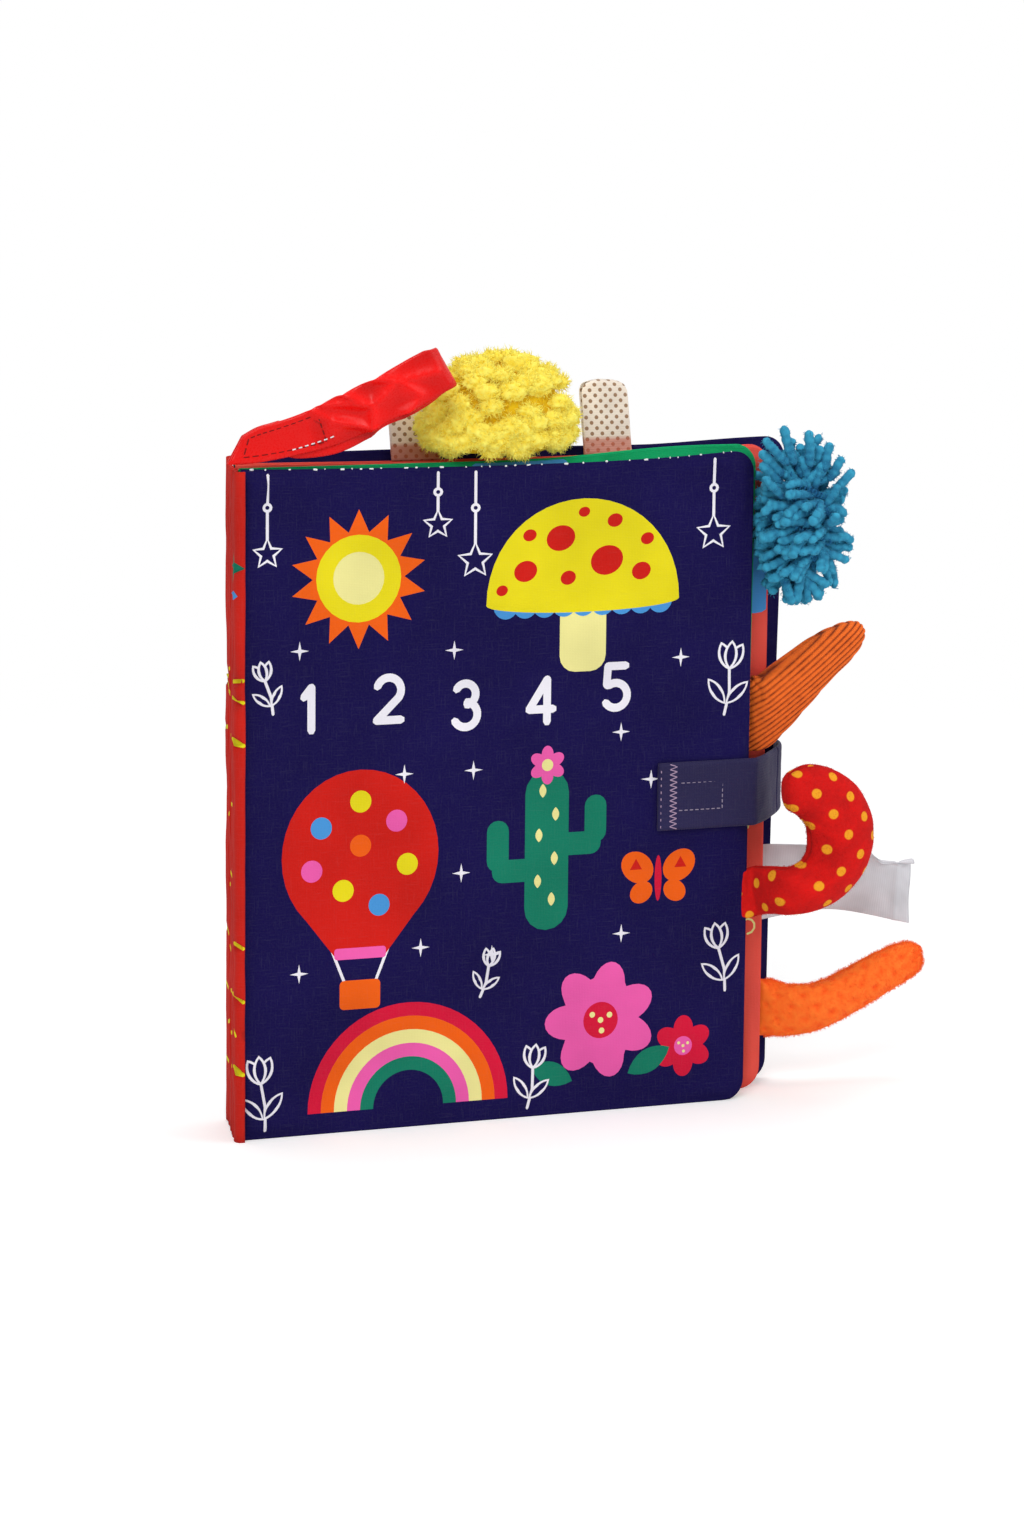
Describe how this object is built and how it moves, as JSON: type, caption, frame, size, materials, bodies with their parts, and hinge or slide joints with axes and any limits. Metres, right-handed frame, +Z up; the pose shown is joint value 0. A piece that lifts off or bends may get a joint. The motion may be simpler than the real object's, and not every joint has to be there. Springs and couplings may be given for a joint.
{
  "type": "cloth baby book",
  "caption": "Stuffed cloth book with soft covers and leaves, a carrying loop, a closing strap and stuffed tails, ribbons, a ball and a pom in its seams.",
  "frame": {"origin": "middle of the book's box, on the surface that its covers stand on", "axes": "+X from the spine to the fore-edge, +Y from the front cover to the back cover, +Z up the page"},
  "size_m": [0.2518, 0.0706, 0.2594],
  "materials": {
    "navy_print": "printed plain weave",
    "green_print": "printed plain weave",
    "coral_print": "printed plain weave",
    "spine_red": "printed plain weave",
    "loop_red": "smooth strap",
    "strap_navy": "woven strap",
    "polyester_filling": "loose wadding",
    "crinkle_film": "thin film",
    "yellow_chenille": "chenille",
    "blue_chenille": "chenille",
    "orange_corduroy": "corduroy",
    "orange_plush": "embossed plush",
    "red_velour": "dotted velour",
    "dotted_satin": "dotted satin",
    "tag_satin": "satin",
    "hook_and_loop": "hook and loop"
  },
  "bodies": {
    "back_cover": {"back_cover_front_cloth": "navy_print", "back_cover_back_cloth": "navy_print", "back_cover_spine_cloth": "spine_red", "back_cover_wadding": "polyester_filling", "loop_patch": "hook_and_loop"},
    "leaf_3": {"leaf_3_front_cloth": "coral_print", "leaf_3_back_cloth": "green_print", "leaf_3_spine_cloth": "spine_red", "leaf_3_wadding": "polyester_filling", "leaf_3_crinkle_film": "crinkle_film"},
    "leaf_2": {"leaf_2_front_cloth": "coral_print", "leaf_2_back_cloth": "coral_print", "leaf_2_spine_cloth": "spine_red", "leaf_2_wadding": "polyester_filling", "leaf_2_crinkle_film": "crinkle_film"},
    "leaf_1": {"leaf_1_front_cloth": "green_print", "leaf_1_back_cloth": "green_print", "leaf_1_spine_cloth": "spine_red", "leaf_1_wadding": "polyester_filling", "leaf_1_crinkle_film": "crinkle_film"},
    "front_cover": {"front_cover_front_cloth": "navy_print", "front_cover_back_cloth": "green_print", "front_cover_spine_cloth": "spine_red", "front_cover_wadding": "polyester_filling", "closing_strap_sewn_part": "strap_navy"},
    "strap_flap": {"closing_strap_flap": "strap_navy"},
    "strap_end": {"closing_strap_end": "strap_navy", "hook_patch": "hook_and_loop"},
    "carrying_loop": {"carrying_loop": "loop_red"},
    "ball": {"chenille_ball": "yellow_chenille", "ball_tab": "yellow_chenille"},
    "ribbon_left": {"ribbon_left": "dotted_satin"},
    "ribbon_right": {"ribbon_right": "dotted_satin"},
    "pom": {"fringed_pom": "blue_chenille", "pom_tab": "blue_chenille"},
    "corduroy_tail": {"corduroy_tail_cloth": "orange_corduroy", "corduroy_tail_stuffing": "polyester_filling"},
    "plush_tail": {"plush_tail_cloth": "orange_plush", "plush_tail_stuffing": "polyester_filling"},
    "dotted_tail": {"dotted_tail_cloth": "red_velour", "dotted_tail_stuffing": "polyester_filling"},
    "side_tag": {"side_tag": "tag_satin"}
  },
  "joints": [
    {"name": "leaf_3_hinge", "type": "hinge", "parent": "back_cover", "child": "leaf_3", "pos_m": [-0.12044, 0.01159, 0.11], "axis": [0, 0, 1], "range_deg": [-135, 0]},
    {"name": "leaf_2_hinge", "type": "hinge", "parent": "leaf_3", "child": "leaf_2", "pos_m": [-0.12194, 0.00529, 0.11], "axis": [0, 0, -1], "range_deg": [0, 100]},
    {"name": "leaf_1_hinge", "type": "hinge", "parent": "leaf_2", "child": "leaf_1", "pos_m": [-0.12344, -0.00101, 0.11], "axis": [0, 0, 1], "range_deg": [-135, 0]},
    {"name": "front_cover_hinge", "type": "hinge", "parent": "leaf_1", "child": "front_cover", "pos_m": [-0.12494, -0.00731, 0.11], "axis": [0, 0, -1], "range_deg": [0, 170]},
    {"name": "strap_flap_hinge", "type": "hinge", "parent": "front_cover", "child": "strap_flap", "pos_m": [0.05356, -0.01446, 0.106], "axis": [0, 0, -1], "range_deg": [0, 45]},
    {"name": "strap_end_hinge", "type": "hinge", "parent": "strap_flap", "child": "strap_end", "pos_m": [0.07706, 0.02034, 0.106], "axis": [0, 0, 1], "range_deg": [0, 88]},
    {"name": "carrying_loop_hinge", "type": "hinge", "parent": "front_cover", "child": "carrying_loop", "pos_m": [-0.12494, -0.01046, 0.2208], "axis": [0, -1, 0], "range_deg": [0, 80]},
    {"name": "ball_hinge", "type": "hinge", "parent": "leaf_2", "child": "ball", "pos_m": [-0.03094, 0.00214, 0.22], "axis": [1, 0, 0], "range_deg": [0, 14]},
    {"name": "ribbon_left_hinge", "type": "hinge", "parent": "leaf_3", "child": "ribbon_left", "pos_m": [-0.05844, 0.00844, 0.22], "axis": [-1, 0, 0], "range_deg": [0, 40]},
    {"name": "ribbon_right_hinge", "type": "hinge", "parent": "leaf_3", "child": "ribbon_right", "pos_m": [0.00906, 0.00844, 0.22], "axis": [-1, 0, 0], "range_deg": [0, 40]},
    {"name": "pom_hinge", "type": "hinge", "parent": "leaf_2", "child": "pom", "pos_m": [0.06531, 0.00214, 0.194], "axis": [0, 0, 1], "range_deg": [-5, 25]},
    {"name": "corduroy_tail_hinge", "type": "hinge", "parent": "leaf_1", "child": "corduroy_tail", "pos_m": [0.05731, -0.00416, 0.132], "axis": [0, 0, -1], "range_deg": [0, 45]},
    {"name": "plush_tail_hinge", "type": "hinge", "parent": "leaf_3", "child": "plush_tail", "pos_m": [0.06731, 0.00844, 0.0265], "axis": [0, 0, -1], "range_deg": [0, 40]},
    {"name": "dotted_tail_hinge", "type": "hinge", "parent": "front_cover", "child": "dotted_tail", "pos_m": [0.05381, -0.01046, 0.0704], "axis": [0, 0, -1], "range_deg": [0, 30]},
    {"name": "side_tag_hinge", "type": "hinge", "parent": "leaf_3", "child": "side_tag", "pos_m": [0.06731, 0.00844, 0.07], "axis": [0, 0, -1], "range_deg": [0, 30]}
  ]
}
